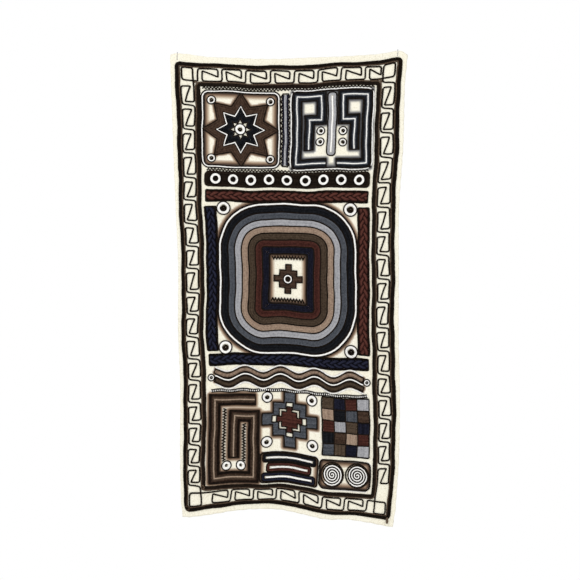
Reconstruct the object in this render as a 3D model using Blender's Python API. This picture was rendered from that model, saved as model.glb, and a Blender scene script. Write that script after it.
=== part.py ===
"""Wool wall hanging: a cream cloth hanging from its top edge, with raised yarn bands, plaits and motifs.

The design is laid out flat, in millimetres: across is measured from the middle to the right, down from
the top edge, and height from the back of the cloth. Each piece is cut flat and then hung by one function,
which gives the uneven outline and the soft folds, so every piece lies on the cloth with a small gap.
The origin is the middle of the top edge, the front faces -Y, and the wall would be at +Y.
"""

import math
from functools import lru_cache

import bmesh
import bpy

MM = 0.001

# The cloth, cut flat, and what is sewn on it
HALF_WIDTH = 300.0
HEIGHT = 1234.0
CLOTH_THICKNESS = 1.8
GAP = 0.35
YARN_HEIGHT = 2.6
BAND_HEIGHT = 3.2
PLAIT_HEIGHT = 5.2
PLAIT_DIP = 1.7
PLAIT_FALL = 1.2
BAND_WIDTH = 13.0
PLAIT_WIDTH = 26.0
LINE_WIDTH = 3.0
ARC_STEPS = 5
SHARP_TURN = math.radians(35)

# The grid of flat facets that the cloth and all that lies on it share
CELLS_ACROSS = 25
CELLS_DOWN = 20
CELL_ACROSS = 2 * HALF_WIDTH / CELLS_ACROSS
CELL_DOWN = HEIGHT / CELLS_DOWN
STITCH_ACROSS = CELL_ACROSS / 2
STITCH_DOWN = CELL_DOWN / 5

# Upright lines of the design: where they are cut flat, and where they hang at each distance down
BAND_ACROSS = 283.0
INNER_ACROSS = 236.0
UPRIGHTS = (-HALF_WIDTH, -BAND_ACROSS, -INNER_ACROSS, INNER_ACROSS, BAND_ACROSS, HALF_WIDTH)
SIDES = (
    # down, left edge, left band, left inner band, right inner band, right band, right edge
    (0.0, -318.0, -300.0, -245.0, 249.0, 305.0, 323.5),
    (85.0, -315.0, -296.5, -243.5, 245.0, 296.5, 315.5),
    (247.0, -309.5, -290.5, -242.0, 239.5, 291.5, 311.0),
    (409.0, -303.0, -288.5, -238.0, 232.5, 282.5, 299.5),
    (571.0, -296.0, -281.5, -231.5, 232.0, 282.0, 299.0),
    (733.0, -296.5, -281.5, -233.5, 232.0, 279.0, 298.5),
    (895.0, -290.5, -276.0, -226.5, 234.5, 284.5, 301.5),
    (1057.0, -291.0, -276.5, -228.5, 236.0, 282.0, 299.5),
    (1192.0, -288.5, -276.5, -229.5, 227.5, 272.5, 290.0),
    (1234.0, -284.0, -272.0, -229.0, 225.0, 268.0, 283.0),
)

# Level lines of the design: where they are cut flat, and how far down they hang at each place across
BAND_TOP = 26.0
INNER_TOP = 76.0
INNER_BOTTOM = 1162.0
BAND_BOTTOM = 1212.0
LEVELS = (0.0, BAND_TOP, INNER_TOP, INNER_BOTTOM, BAND_BOTTOM, HEIGHT)
ENDS = (
    # across, top edge, top band, top inner band, bottom inner band, bottom band, bottom edge
    (-300.0, -10.5, 12.5, 67.0, 1160.0, 1216.0, 1237.0),
    (-283.0, -13.5, 14.0, 67.0, 1160.0, 1216.5, 1237.0),
    (-270.0, -12.5, 15.5, 67.5, 1160.0, 1217.0, 1236.5),
    (-210.0, -4.0, 20.0, 69.5, 1158.0, 1207.0, 1229.0),
    (-150.0, -1.5, 22.0, 72.0, 1154.0, 1198.5, 1219.0),
    (-85.0, 1.5, 25.0, 75.0, 1155.0, 1195.5, 1215.0),
    (-20.0, 1.5, 25.5, 75.5, 1153.5, 1196.5, 1217.5),
    (45.0, -1.5, 24.0, 74.5, 1163.0, 1210.5, 1229.5),
    (110.0, -4.0, 18.5, 68.5, 1174.0, 1223.0, 1243.0),
    (170.0, -7.0, 15.5, 66.5, 1179.0, 1225.5, 1243.5),
    (235.0, -12.0, 10.5, 64.0, 1183.0, 1232.0, 1252.5),
    (283.0, -20.5, 2.5, 61.0, 1185.0, 1238.0, 1261.5),
    (300.0, -9.5, 6.0, 60.0, 1186.0, 1240.0, 1264.0),
)

# Soft folds that swing forward from the wall, deepest at the hem
FOLDS = (
    # across, half width, lean to the right by the hem, depth at the top, depth at the hem
    (-250.0, 100.0, 18.0, 0.5, 6.0),
    (-105.0, 120.0, -25.0, 1.0, 10.5),
    (60.0, 115.0, 30.0, 1.0, 8.0),
    (215.0, 105.0, 12.0, 0.5, 9.5),
)

# Colours of the wools, as linear red, green and blue
CREAM = (0.84, 0.80, 0.69)
BLACK_BROWN = (0.022, 0.016, 0.012)
CHARCOAL = (0.018, 0.020, 0.026)
SLATE = (0.10, 0.11, 0.13)
LIGHT_GREY = (0.46, 0.47, 0.52)
TAN = (0.42, 0.32, 0.25)
OLIVE_BROWN = (0.085, 0.060, 0.043)
MAROON = (0.075, 0.030, 0.024)
NAVY = (0.020, 0.020, 0.035)
BROWN = (0.065, 0.043, 0.030)


def row_at(table, place):
    """The table's columns at a place between its rows, on a smooth curve through them."""
    last = len(table) - 1
    i = 0
    while i < last - 1 and place > table[i + 1][0]:
        i += 1
    before, low, high, after = (table[min(max(k, 0), last)] for k in (i - 1, i, i + 1, i + 2))
    t = min(max((place - low[0]) / (high[0] - low[0]), 0.0), 1.0)
    columns = []
    for a, b, c, d in zip(before[1:], low[1:], high[1:], after[1:]):
        bend = (2 * a - 5 * b + 4 * c - d) * t * t + (3 * b - a - 3 * c + d) * t * t * t
        columns.append(b + 0.5 * ((c - a) * t + bend))
    return columns


def along(lines, values, place):
    """The value at a place between fixed lines, straight from one line to the next."""
    i = 0
    while i < len(lines) - 2 and place > lines[i + 1]:
        i += 1
    t = (place - lines[i]) / (lines[i + 1] - lines[i])
    return values[i] + t * (values[i + 1] - values[i])


def fold_depth(across, down):
    """How far the folds carry the cloth forward."""
    fall = down / HEIGHT
    depth = 0.0
    for middle, half_width, lean, at_top, at_hem in FOLDS:
        off = (across - middle - lean * fall) / half_width
        if abs(off) < 1:
            depth += (at_top + (at_hem - at_top) * fall) * (0.5 + 0.5 * math.cos(math.pi * off))
    return depth


@lru_cache(maxsize=None)
def hung_knot(column, row):
    """Where a knot of the cloth's grid hangs: x, depth forward and distance down, in millimetres."""
    across = -HALF_WIDTH + column * CELL_ACROSS
    down = row * CELL_DOWN
    x = along(UPRIGHTS, row_at(SIDES, down), across)
    z = along(LEVELS, row_at(ENDS, across), down)
    return x, fold_depth(across, down), z


def hang(across, down, height):
    """A flat point hung on the cloth's facets, in metres, at a height in front of the cloth's back."""
    column = min(max(int((across + HALF_WIDTH) / CELL_ACROSS), 0), CELLS_ACROSS - 1)
    row = min(max(int(down / CELL_DOWN), 0), CELLS_DOWN - 1)
    s = (across + HALF_WIDTH) / CELL_ACROSS - column
    t = down / CELL_DOWN - row
    x, depth, z = 0.0, 0.0, 0.0
    for i, j, share in ((0, 0, (1 - s) * (1 - t)), (1, 0, s * (1 - t)), (0, 1, (1 - s) * t), (1, 1, s * t)):
        knot = hung_knot(column + i, row + j)
        x += share * knot[0]
        depth += share * knot[1]
        z += share * knot[2]
    return x * MM, -(depth + height) * MM, -z * MM


def wool(name, colour):
    """A matt wool in one plain colour."""
    material = bpy.data.materials.get(name)
    if material is None:
        material = bpy.data.materials.new(name)
        material.use_nodes = True
        surface = material.node_tree.nodes["Principled BSDF"]
        surface.inputs["Base Color"].default_value = (*colour, 1.0)
        surface.inputs["Roughness"].default_value = 0.9
        surface.inputs["Metallic"].default_value = 0.0
    return material


def grid_lines(low, high, start, cell, count):
    """The cloth's grid lines that cross a flat shape."""
    lines = [start + cell * k for k in range(1, count)]
    return [line for line in lines if low < line < high]


def cut_on_grid(flat):
    """Cut a flat shape along the cloth's grid lines, so that it bends where the cloth does."""
    xs = [vertex.co.x for vertex in flat.verts]
    ys = [vertex.co.y for vertex in flat.verts]
    across = grid_lines(min(xs), max(xs), -HALF_WIDTH, CELL_ACROSS, CELLS_ACROSS)
    down = grid_lines(min(ys), max(ys), 0.0, CELL_DOWN, CELLS_DOWN)
    cuts = [((line, 0, 0), (1, 0, 0)) for line in across] + [((0, line, 0), (0, 1, 0)) for line in down]
    for place, normal in cuts:
        geometry = flat.verts[:] + flat.edges[:] + flat.faces[:]
        bmesh.ops.bisect_plane(flat, geom=geometry, dist=0.001, plane_co=place, plane_no=normal)


def hang_piece(name, flat, low, high, material):
    """Cut a flat shape on the grid, give it thickness, hang it, and make it an object."""
    cut_on_grid(flat)
    raised = bmesh.ops.extrude_face_region(flat, geom=flat.faces[:])["geom"]
    tops = {element for element in raised if isinstance(element, bmesh.types.BMVert)}
    for vertex in flat.verts:
        height = high(vertex.co.x, vertex.co.y) if callable(high) else high
        vertex.co = hang(vertex.co.x, vertex.co.y, height if vertex in tops else low)
    bmesh.ops.recalc_face_normals(flat, faces=flat.faces[:])
    mesh = bpy.data.meshes.new(name)
    flat.to_mesh(mesh)
    flat.free()
    piece = bpy.data.objects.new(name, mesh)
    bpy.context.scene.collection.objects.link(piece)
    mesh.materials.append(material)
    mesh.shade_smooth()
    mesh.set_sharp_from_angle(angle=SHARP_TURN)
    return piece


def flat_face(outline):
    """One flat face inside a closed outline."""
    flat = bmesh.new()
    flat.faces.new([flat.verts.new((u, v, 0)) for u, v in outline])
    return flat


def flat_ring(outer, inner):
    """A flat ring between two closed outlines with as many points each."""
    flat = bmesh.new()
    for outline in (outer, inner):
        corners = [flat.verts.new((u, v, 0)) for u, v in outline]
        for i, corner in enumerate(corners):
            flat.edges.new((corners[i - 1], corner))
    bmesh.ops.bridge_loops(flat, edges=flat.edges[:])
    return flat


def patch(name, outline, material, hole=None, height=YARN_HEIGHT):
    """A raised patch of yarn on the cloth."""
    flat = flat_ring(outline, hole) if hole else flat_face(outline)
    low = CLOTH_THICKNESS + GAP
    return hang_piece(name, flat, low, low + height, material)


def circle(u, v, radius, steps=16):
    """A closed circle."""
    turns = [2 * math.pi * k / steps for k in range(steps)]
    return [(u + radius * math.cos(turn), v + radius * math.sin(turn)) for turn in turns]


def rounded_box(u, v, half_width, half_height, radius):
    """A closed box with round corners."""
    points = []
    for quarter, (side, end) in enumerate(((1, 1), (-1, 1), (-1, -1), (1, -1))):
        centre_u = u + side * (half_width - radius)
        centre_v = v + end * (half_height - radius)
        for k in range(ARC_STEPS + 1):
            turn = 0.5 * math.pi * (quarter + k / ARC_STEPS)
            points.append((centre_u + radius * math.cos(turn), centre_v + radius * math.sin(turn)))
    return points


def star(u, v, tip, notch, points=8):
    """A closed star."""
    outline = []
    for k in range(2 * points):
        turn = math.pi * k / points
        radius = tip if k % 2 == 0 else notch
        outline.append((u + radius * math.sin(turn), v - radius * math.cos(turn)))
    return outline


def stepped_cross(u, v, step, arms=3):
    """A closed cross whose four corners go in by steps."""
    quarter = []
    for k in range(arms - 1):
        quarter.append(((arms - k - 0.5) * step, (k + 0.5) * step))
        quarter.append(((arms - k - 1.5) * step, (k + 0.5) * step))
    quarter.append((0.5 * step, (arms - 0.5) * step))
    outline = []
    for _ in range(4):
        outline += [(u + a, v + b) for a, b in quarter]
        quarter = [(-b, a) for a, b in quarter]
    return outline


def toothed_bar(u, v, half_width, half_height, tooth, teeth):
    """A closed upright bar with a row of teeth down each side."""
    pitch = 2 * half_height / teeth
    side = []
    for k in range(teeth):
        side.append((half_width, -half_height + k * pitch))
        side.append((half_width + tooth, -half_height + (k + 0.5) * pitch))
    side.append((half_width, half_height))
    return [(u + a, v + b) for a, b in side] + [(u - a, v + b) for a, b in side[::-1]]


def stroke(path, width):
    """The closed outline of a line of one width, with mitred corners."""
    left, right = [], []
    for i, (u, v) in enumerate(path):
        before = path[max(i - 1, 0)]
        after = path[min(i + 1, len(path) - 1)]
        into = math.atan2(v - before[1], u - before[0]) if i else None
        out = math.atan2(after[1] - v, after[0] - u) if i < len(path) - 1 else None
        into = out if into is None else into
        out = into if out is None else out
        half_turn = 0.5 * math.remainder(out - into, 2 * math.pi)
        side = into + half_turn + 0.5 * math.pi
        reach = 0.5 * width / math.cos(half_turn)
        left.append((u + reach * math.cos(side), v + reach * math.sin(side)))
        right.append((u - reach * math.cos(side), v - reach * math.sin(side)))
    return left + right[::-1]


# The cloth
def make_cloth():
    """The ground cloth with its turned hem, one sheet."""
    top, left, right = 0.0, -HALF_WIDTH, HALF_WIDTH
    outline = ((left, top), (right, top), (right, HEIGHT), (left, HEIGHT))
    hang_piece("cloth", flat_face(outline), 0.0, CLOTH_THICKNESS, wool("ivory wool cloth", CREAM))


# The dark frames
def make_frame(name, across, top, bottom):
    """Four mitred strips of couched yarn along a frame's centre lines."""
    dark = wool("black brown yarn", BLACK_BROWN)
    half = BAND_WIDTH / 2
    seam = GAP / 2
    inner = across - half
    outer = across + half
    for side, sign in (("left", -1), ("right", 1)):
        outline = (
            (sign * outer, top - half + seam),
            (sign * inner, top + half + seam),
            (sign * inner, bottom - half - seam),
            (sign * outer, bottom + half - seam),
        )
        patch(f"{name}_{side}", outline, dark, height=BAND_HEIGHT)
    for end, level, sign in (("top", top, -1), ("bottom", bottom, 1)):
        outline = (
            (-outer + seam, level + sign * half),
            (outer - seam, level + sign * half),
            (inner - seam, level - sign * half),
            (-inner + seam, level - sign * half),
        )
        patch(f"{name}_{end}", outline, dark, height=BAND_HEIGHT)


# The plaits
def make_plait(name, start, end, material):
    """A wool plait with crossing lobes, sewn on along a straight line."""
    upright = start[0] == end[0]
    length = math.dist(start, end)
    stitch = STITCH_DOWN if upright else STITCH_ACROSS
    stitches = round(length / stitch)
    flat = bmesh.new()
    rows = []
    for k in range(stitches + 1):
        place = length * k / stitches
        row = []
        for off in (-0.5, 0.0, 0.5):
            side = off * PLAIT_WIDTH
            point = (start[0] + side, start[1] + place) if upright else (start[0] + place, start[1] + side)
            row.append(flat.verts.new((*point, 0)))
        rows.append(row)
    for near, far in zip(rows, rows[1:]):
        for i in (0, 1):
            flat.faces.new((near[i], near[i + 1], far[i + 1], far[i]))

    low = CLOTH_THICKNESS + GAP

    def crown(u, v):
        place = v - start[1] if upright else u - start[0]
        off = abs(u - start[0] if upright else v - start[1]) / (PLAIT_WIDTH / 2)
        lobe = 0.5 + 0.5 * math.cos(math.pi * (place / stitch + (off > 0.5)))
        return low + PLAIT_HEIGHT - PLAIT_DIP * lobe - PLAIT_FALL * off

    hang_piece(name, flat, low, crown, material)


PLAITS = (
    # name, start across, start down, end across, end down, wool, colour
    ("plait_top", -18 * STITCH_ACROSS, 376.0, 18 * STITCH_ACROSS, 376.0, "maroon yarn", MAROON),
    ("plait_left", -207.0, 33 * STITCH_DOWN, -207.0, 64 * STITCH_DOWN, "navy yarn", NAVY),
    ("plait_right", 207.0, 33 * STITCH_DOWN, 207.0, 64 * STITCH_DOWN, "maroon yarn", MAROON),
    ("plait_bottom", -18 * STITCH_ACROSS, 817.0, 18 * STITCH_ACROSS, 817.0, "navy yarn", NAVY),
)

# The medallion of seven nested stripes
MEDALLION = {"u": 0.0, "v": 598.0, "half_width": 180.0, "half_height": 196.0, "radius": 118.0}
TIGHTEST_CORNER = 8.0
STRIPE = 18.5
HEART_STEP = 15.5
STRIPES = (
    # name, wool, colour
    ("charcoal", "charcoal yarn", CHARCOAL),
    ("slate", "slate yarn", SLATE),
    ("light_grey", "light grey yarn", LIGHT_GREY),
    ("tan", "tan yarn", TAN),
    ("olive", "olive brown yarn", OLIVE_BROWN),
    ("maroon", "maroon yarn", MAROON),
    ("navy", "navy yarn", NAVY),
)


def medallion_box(inset):
    """The medallion's outline, drawn in by a distance."""
    radius = max(MEDALLION["radius"] - inset, TIGHTEST_CORNER)
    half_width = MEDALLION["half_width"] - inset
    half_height = MEDALLION["half_height"] - inset
    return rounded_box(MEDALLION["u"], MEDALLION["v"], half_width, half_height, radius)


def make_medallion():
    """Each stripe is a closed ring, a line's width clear of the next, round a solid heart."""
    for k, (name, yarn, colour) in enumerate(STRIPES):
        outer = medallion_box(k * STRIPE)
        inner = medallion_box((k + 1) * STRIPE - LINE_WIDTH)
        patch(f"medallion_{name}", outer, wool(yarn, colour), hole=inner)
    heart = stepped_cross(MEDALLION["u"], MEDALLION["v"], HEART_STEP)
    patch("medallion_heart", heart, wool("brown yarn", BROWN))


# The star, top left
STAR = {"u": -124.0, "v": 196.0}
STAR_OUTSIDE = {"tip": 97.0, "notch": 64.0}
STAR_INSIDE = {"tip": 66.0, "notch": 42.0}
STAR_HEART = {"tip": 58.0, "notch": 34.0}


def make_star():
    """An eight-pointed star: a ring and a heart in it."""
    outside = star(**STAR, **STAR_OUTSIDE)
    patch("star_ring", outside, wool("brown yarn", BROWN), hole=star(**STAR, **STAR_INSIDE))
    patch("star_heart", star(**STAR, **STAR_HEART), wool("charcoal yarn", CHARCOAL))


# The toothed bar between the star and the hooks
TOOTHED_BAR = {"u": -6.0, "v": 196.0, "half_width": 6.5, "half_height": 98.0, "tooth": 5.0, "teeth": 14}


def make_toothed_bar():
    """An upright dark bar with teeth."""
    patch("toothed_bar", toothed_bar(**TOOTHED_BAR), wool("navy yarn", NAVY))


# The pair of hooks, top right
HOOKS = {"u": 116.0, "v": 196.0, "width": 21.0}
PILLAR = {"u": 116.0, "v": 182.0, "half_width": 11.0, "half_height": 84.0, "radius": 8.0}
HOOK_PATH = (
    # from the pillar, from the middle down
    (14.0, 91.0),
    (92.0, 91.0),
    (92.0, -90.0),
    (28.0, -90.0),
    (28.0, -26.0),
    (60.0, -26.0),
    (60.0, 54.0),
)


def make_hooks():
    """Two square spirals that face each other across a pillar."""
    u, v = HOOKS["u"], HOOKS["v"]
    for name, sign in (("hook_left", -1), ("hook_right", 1)):
        path = [(u + sign * a, v + b) for a, b in HOOK_PATH]
        patch(name, stroke(path, HOOKS["width"]), wool("charcoal yarn", CHARCOAL))
    patch("pillar", rounded_box(**PILLAR), wool("light grey yarn", LIGHT_GREY))


# The bar that carries the rings
RING_BAR = {"u": 0.0, "v": 331.0, "half_width": 222.0, "half_height": 21.0, "radius": 12.0}


def make_ring_bar():
    """A long dark bar under a row of rings."""
    patch("ring_bar", rounded_box(**RING_BAR), wool("black brown yarn", BLACK_BROWN))


# The two waves under the lower plait
WAVE = {"width": 9.0, "swing": 8.0, "length": 96.0, "half_run": 204.0, "step": 12.0}
WAVES = (
    # name, down, wool, colour
    ("wave_upper", 853.0, "tan yarn", TAN),
    ("wave_lower", 877.0, "olive brown yarn", OLIVE_BROWN),
)


def make_waves():
    """Two level strips that swing up and down together."""
    steps = round(2 * WAVE["half_run"] / WAVE["step"])
    for name, down, yarn, colour in WAVES:
        path = []
        for k in range(steps + 1):
            u = -WAVE["half_run"] + k * WAVE["step"]
            path.append((u, down + WAVE["swing"] * math.sin(2 * math.pi * u / WAVE["length"])))
        patch(name, stroke(path, WAVE["width"]), wool(yarn, colour))


# The lower panels
CROSS = {"u": 0.0, "v": 980.0}
CROSS_STEPS = {"outside": 30.0, "inside": 19.0, "heart": 14.0}
LOWER_HOOK_WIDTH = 24.0
LOWER_HOOK_PATH = (
    # across, down
    (-96.0, 926.0),
    (-206.0, 926.0),
    (-206.0, 1136.0),
    (-98.0, 1136.0),
    (-98.0, 970.0),
    (-152.0, 970.0),
    (-152.0, 1084.0),
)
CHECKS = {"u": 154.0, "v": 984.0, "half_width": 64.0, "half_height": 76.0, "radius": 8.0}
BAR_HALF_HEIGHT = 10.0
BAR_CORNER = 6.0
BARS = (
    # name, down, half width, wool, colour
    ("bar_upper", 1084.0, 72.0, "charcoal yarn", CHARCOAL),
    ("bar_middle", 1110.0, 60.0, "maroon yarn", MAROON),
    ("bar_lower", 1136.0, 72.0, "navy yarn", NAVY),
)
DISC_DOWN = 1110.0
DISC_RADIUS = 31.0
DISCS = (
    # name, across
    ("disc_left", 120.0),
    ("disc_right", 188.0),
)


def make_lower_panels():
    """A hook, a stepped cross over three bars, and a chequered block over two discs."""
    patch("hook_lower", stroke(LOWER_HOOK_PATH, LOWER_HOOK_WIDTH), wool("brown yarn", BROWN))
    ring, hole, heart = (stepped_cross(**CROSS, step=step) for step in CROSS_STEPS.values())
    patch("cross_ring", ring, wool("slate yarn", SLATE), hole=hole)
    patch("cross_heart", heart, wool("maroon yarn", MAROON))
    patch("checks", rounded_box(**CHECKS), wool("olive brown yarn", OLIVE_BROWN))
    for name, down, half_width, yarn, colour in BARS:
        bar = rounded_box(CROSS["u"], down, half_width, BAR_HALF_HEIGHT, BAR_CORNER)
        patch(name, bar, wool(yarn, colour))
    for name, across in DISCS:
        patch(name, circle(across, DISC_DOWN, DISC_RADIUS), wool("charcoal yarn", CHARCOAL))


for leftover in list(bpy.data.objects):
    bpy.data.objects.remove(leftover, do_unlink=True)
make_cloth()
make_frame("band_outer", BAND_ACROSS, BAND_TOP, BAND_BOTTOM)
make_frame("band_inner", INNER_ACROSS, INNER_TOP, INNER_BOTTOM)
for plait, start_u, start_v, end_u, end_v, plait_yarn, plait_colour in PLAITS:
    make_plait(plait, (start_u, start_v), (end_u, end_v), wool(plait_yarn, plait_colour))
make_medallion()
make_star()
make_toothed_bar()
make_hooks()
make_ring_bar()
make_waves()
make_lower_panels()
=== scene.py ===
import math
import random

import bmesh
import bpy
import numpy as np
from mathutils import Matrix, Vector


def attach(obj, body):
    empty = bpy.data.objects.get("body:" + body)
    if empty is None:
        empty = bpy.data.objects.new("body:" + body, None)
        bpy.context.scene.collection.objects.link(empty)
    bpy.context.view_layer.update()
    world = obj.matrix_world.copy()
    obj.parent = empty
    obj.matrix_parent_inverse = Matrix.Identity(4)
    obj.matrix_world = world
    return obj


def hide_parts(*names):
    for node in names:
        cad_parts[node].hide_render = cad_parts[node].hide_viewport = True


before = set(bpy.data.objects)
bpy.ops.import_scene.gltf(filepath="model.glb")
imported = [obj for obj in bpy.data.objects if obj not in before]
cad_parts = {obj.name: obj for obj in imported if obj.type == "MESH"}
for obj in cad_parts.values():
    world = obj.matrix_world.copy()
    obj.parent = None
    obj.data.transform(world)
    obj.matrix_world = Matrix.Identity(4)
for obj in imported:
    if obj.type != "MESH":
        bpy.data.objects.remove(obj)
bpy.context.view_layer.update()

# The view: a level camera straight in front of the hanging, so far off that it looks flat. The surround is
# white, two large soft lamps stand left and right of the camera, and a pale floor lies well below the hem.
MM = 0.001
PIXEL = 0.0027
FRAME_PIXELS = 580
VIEW_MIDDLE = Vector((0.0054, 0.0, -0.625))
VIEW_DISTANCE = 4.2
SENSOR = 36.0
FLOOR_DOWN = 1.95


def linear(shade):
    """A hex colour as linear red, green, blue and alpha."""
    channels = [int(shade[i:i + 2], 16) / 255 for i in (1, 3, 5)]
    return [c / 12.92 if c <= 0.04045 else ((c + 0.055) / 1.055) ** 2.4 for c in channels] + [1.0]


def add_node(tree, kind, links=None, **settings):
    """Add a node with its settings, and link or set its sockets by name or number."""
    node = tree.nodes.new(kind)
    for key, value in settings.items():
        setattr(node, key, value)
    for key, value in (links or {}).items():
        if isinstance(value, bpy.types.NodeSocket):
            tree.links.new(value, node.inputs[key])
        else:
            node.inputs[key].default_value = value
    return node


def new_material(name, **surface):
    """A material with its Principled surface set, and its tree and surface node."""
    material = bpy.data.materials.new(name)
    material.use_nodes = True
    principled = material.node_tree.nodes["Principled BSDF"]
    for key, value in surface.items():
        principled.inputs[key.replace("_", " ").title().replace("Ior", "IOR")].default_value = value
    return material, material.node_tree, principled


camera = bpy.data.objects.new("camera", bpy.data.cameras.new("camera"))
bpy.context.scene.collection.objects.link(camera)
camera.location = VIEW_MIDDLE - Vector((0, VIEW_DISTANCE, 0))
camera.rotation_euler = (math.pi / 2, 0, 0)
camera.data.sensor_width = SENSOR
camera.data.lens = SENSOR * VIEW_DISTANCE / (FRAME_PIXELS * PIXEL)
bpy.context.scene.camera = camera
bpy.context.scene.view_settings.view_transform = "Standard"

world = bpy.data.worlds.new("white surround")
world.use_nodes = True
world.node_tree.nodes["Background"].inputs["Color"].default_value = (1, 1, 1, 1)
bpy.context.scene.world = world

LAMPS = (
    # name, place, size, power
    ("key lamp", (-2.2, -2.0, 1.1), 1.2, 30.0),
    ("fill lamp", (2.4, -2.6, -0.2), 1.8, 20.0),
)
for lamp_name, place, size, power in LAMPS:
    lamp = bpy.data.objects.new(lamp_name, bpy.data.lights.new(lamp_name, "AREA"))
    lamp.data.size = size
    lamp.data.energy = power
    lamp.location = place
    lamp.rotation_euler = (VIEW_MIDDLE - Vector(place)).to_track_quat("-Z", "Y").to_euler()
    bpy.context.scene.collection.objects.link(lamp)

slab = bmesh.new()
bmesh.ops.create_grid(slab, x_segments=1, y_segments=1, size=1.6)
bmesh.ops.translate(slab, verts=slab.verts[:], vec=(0, 0, -FLOOR_DOWN))
floor = bpy.data.objects.new("floor", bpy.data.meshes.new("floor"))
slab.to_mesh(floor.data)
slab.free()
bpy.context.scene.collection.objects.link(floor)
floor_paint = new_material("pale painted floor", base_color=linear("#F2F1EE"), roughness=0.8)[0]
floor.data.materials.append(floor_paint)

# The ground cloth: a plain-woven cream wool cloth, cut straight and hemmed all round, which hangs from its
# two top corners so that the top edge sags, the sides draw in and the hem ends in soft waves.
# All that is sewn on it is laid out flat, in millimetres across and down, and hung with it.
HALF_WIDTH = 300.0
HEIGHT = 1234.0
CLOTH = 1.8
BAND_ACROSS = 283.0
INNER_ACROSS = 236.0
BAND_TOP = 26.0
INNER_TOP = 76.0
INNER_BOTTOM = 1162.0
BAND_BOTTOM = 1212.0
UPRIGHTS = (-HALF_WIDTH, -BAND_ACROSS, -INNER_ACROSS, INNER_ACROSS, BAND_ACROSS, HALF_WIDTH)
LEVELS = (0.0, BAND_TOP, INNER_TOP, INNER_BOTTOM, BAND_BOTTOM, HEIGHT)
SIDES = (
    # down, left edge, left band, left inner band, right inner band, right band, right edge
    (0.0, -318.0, -300.0, -245.0, 249.0, 305.0, 323.5),
    (85.0, -315.0, -296.5, -243.5, 245.0, 296.5, 315.5),
    (247.0, -309.5, -290.5, -242.0, 239.5, 291.5, 311.0),
    (409.0, -303.0, -288.5, -238.0, 232.5, 282.5, 299.5),
    (571.0, -296.0, -281.5, -231.5, 232.0, 282.0, 299.0),
    (733.0, -296.5, -281.5, -233.5, 232.0, 279.0, 298.5),
    (895.0, -290.5, -276.0, -226.5, 234.5, 284.5, 301.5),
    (1057.0, -291.0, -276.5, -228.5, 236.0, 282.0, 299.5),
    (1192.0, -288.5, -276.5, -229.5, 227.5, 272.5, 290.0),
    (1234.0, -284.0, -272.0, -229.0, 225.0, 268.0, 283.0),
)
ENDS = (
    # across, top edge, top band, top inner band, bottom inner band, bottom band, bottom edge
    (-300.0, -10.5, 12.5, 67.0, 1160.0, 1216.0, 1237.0),
    (-283.0, -13.5, 14.0, 67.0, 1160.0, 1216.5, 1237.0),
    (-270.0, -12.5, 15.5, 67.5, 1160.0, 1217.0, 1236.5),
    (-210.0, -4.0, 20.0, 69.5, 1158.0, 1207.0, 1229.0),
    (-150.0, -1.5, 22.0, 72.0, 1154.0, 1198.5, 1219.0),
    (-85.0, 1.5, 25.0, 75.0, 1155.0, 1195.5, 1215.0),
    (-20.0, 1.5, 25.5, 75.5, 1153.5, 1196.5, 1217.5),
    (45.0, -1.5, 24.0, 74.5, 1163.0, 1210.5, 1229.5),
    (110.0, -4.0, 18.5, 68.5, 1174.0, 1223.0, 1243.0),
    (170.0, -7.0, 15.5, 66.5, 1179.0, 1225.5, 1243.5),
    (235.0, -12.0, 10.5, 64.0, 1183.0, 1232.0, 1252.5),
    (283.0, -20.5, 2.5, 61.0, 1185.0, 1238.0, 1261.5),
    (300.0, -9.5, 6.0, 60.0, 1186.0, 1240.0, 1264.0),
)
FOLDS = (
    # across, half width, lean to the right by the hem, depth at the top, depth at the hem
    (-250.0, 100.0, 18.0, 0.5, 6.0),
    (-105.0, 120.0, -25.0, 1.0, 10.5),
    (60.0, 115.0, 30.0, 1.0, 8.0),
    (215.0, 105.0, 12.0, 0.5, 9.5),
)
RIPPLES = (
    # wave across, wave down, phase, depth
    (143.0, 310.0, 0.3, 0.55),
    (-88.0, 171.0, 1.7, 0.40),
    (61.0, -247.0, 2.2, 0.35),
    (210.0, 83.0, 0.9, 0.40),
)
EDGE_PUCKER = {"wave": 47.0, "depth": 0.9, "reach": 22.0}


def table_at(table, place):
    """A table's columns at many places, on a smooth curve through its rows."""
    rows = np.array(table)
    i = np.clip(np.searchsorted(rows[:, 0], place) - 1, 0, len(rows) - 2)
    t = np.clip((place - rows[i, 0]) / (rows[i + 1, 0] - rows[i, 0]), 0, 1)[:, None]
    a, b, c, d = (rows[np.clip(i + k, 0, len(rows) - 1), 1:] for k in (-1, 0, 1, 2))
    return b + 0.5 * t * (c - a + t * (2 * a - 5 * b + 4 * c - d + t * (3 * b - a - 3 * c + d)))


def along_lines(lines, values, place):
    """At each place between fixed lines, the value straight from one line to the next."""
    lines = np.array(lines)
    i = np.clip(np.searchsorted(lines, place) - 1, 0, len(lines) - 2)
    t = (place - lines[i]) / (lines[i + 1] - lines[i])
    row = np.arange(len(place))
    return values[row, i] * (1 - t) + values[row, i + 1] * t


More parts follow.
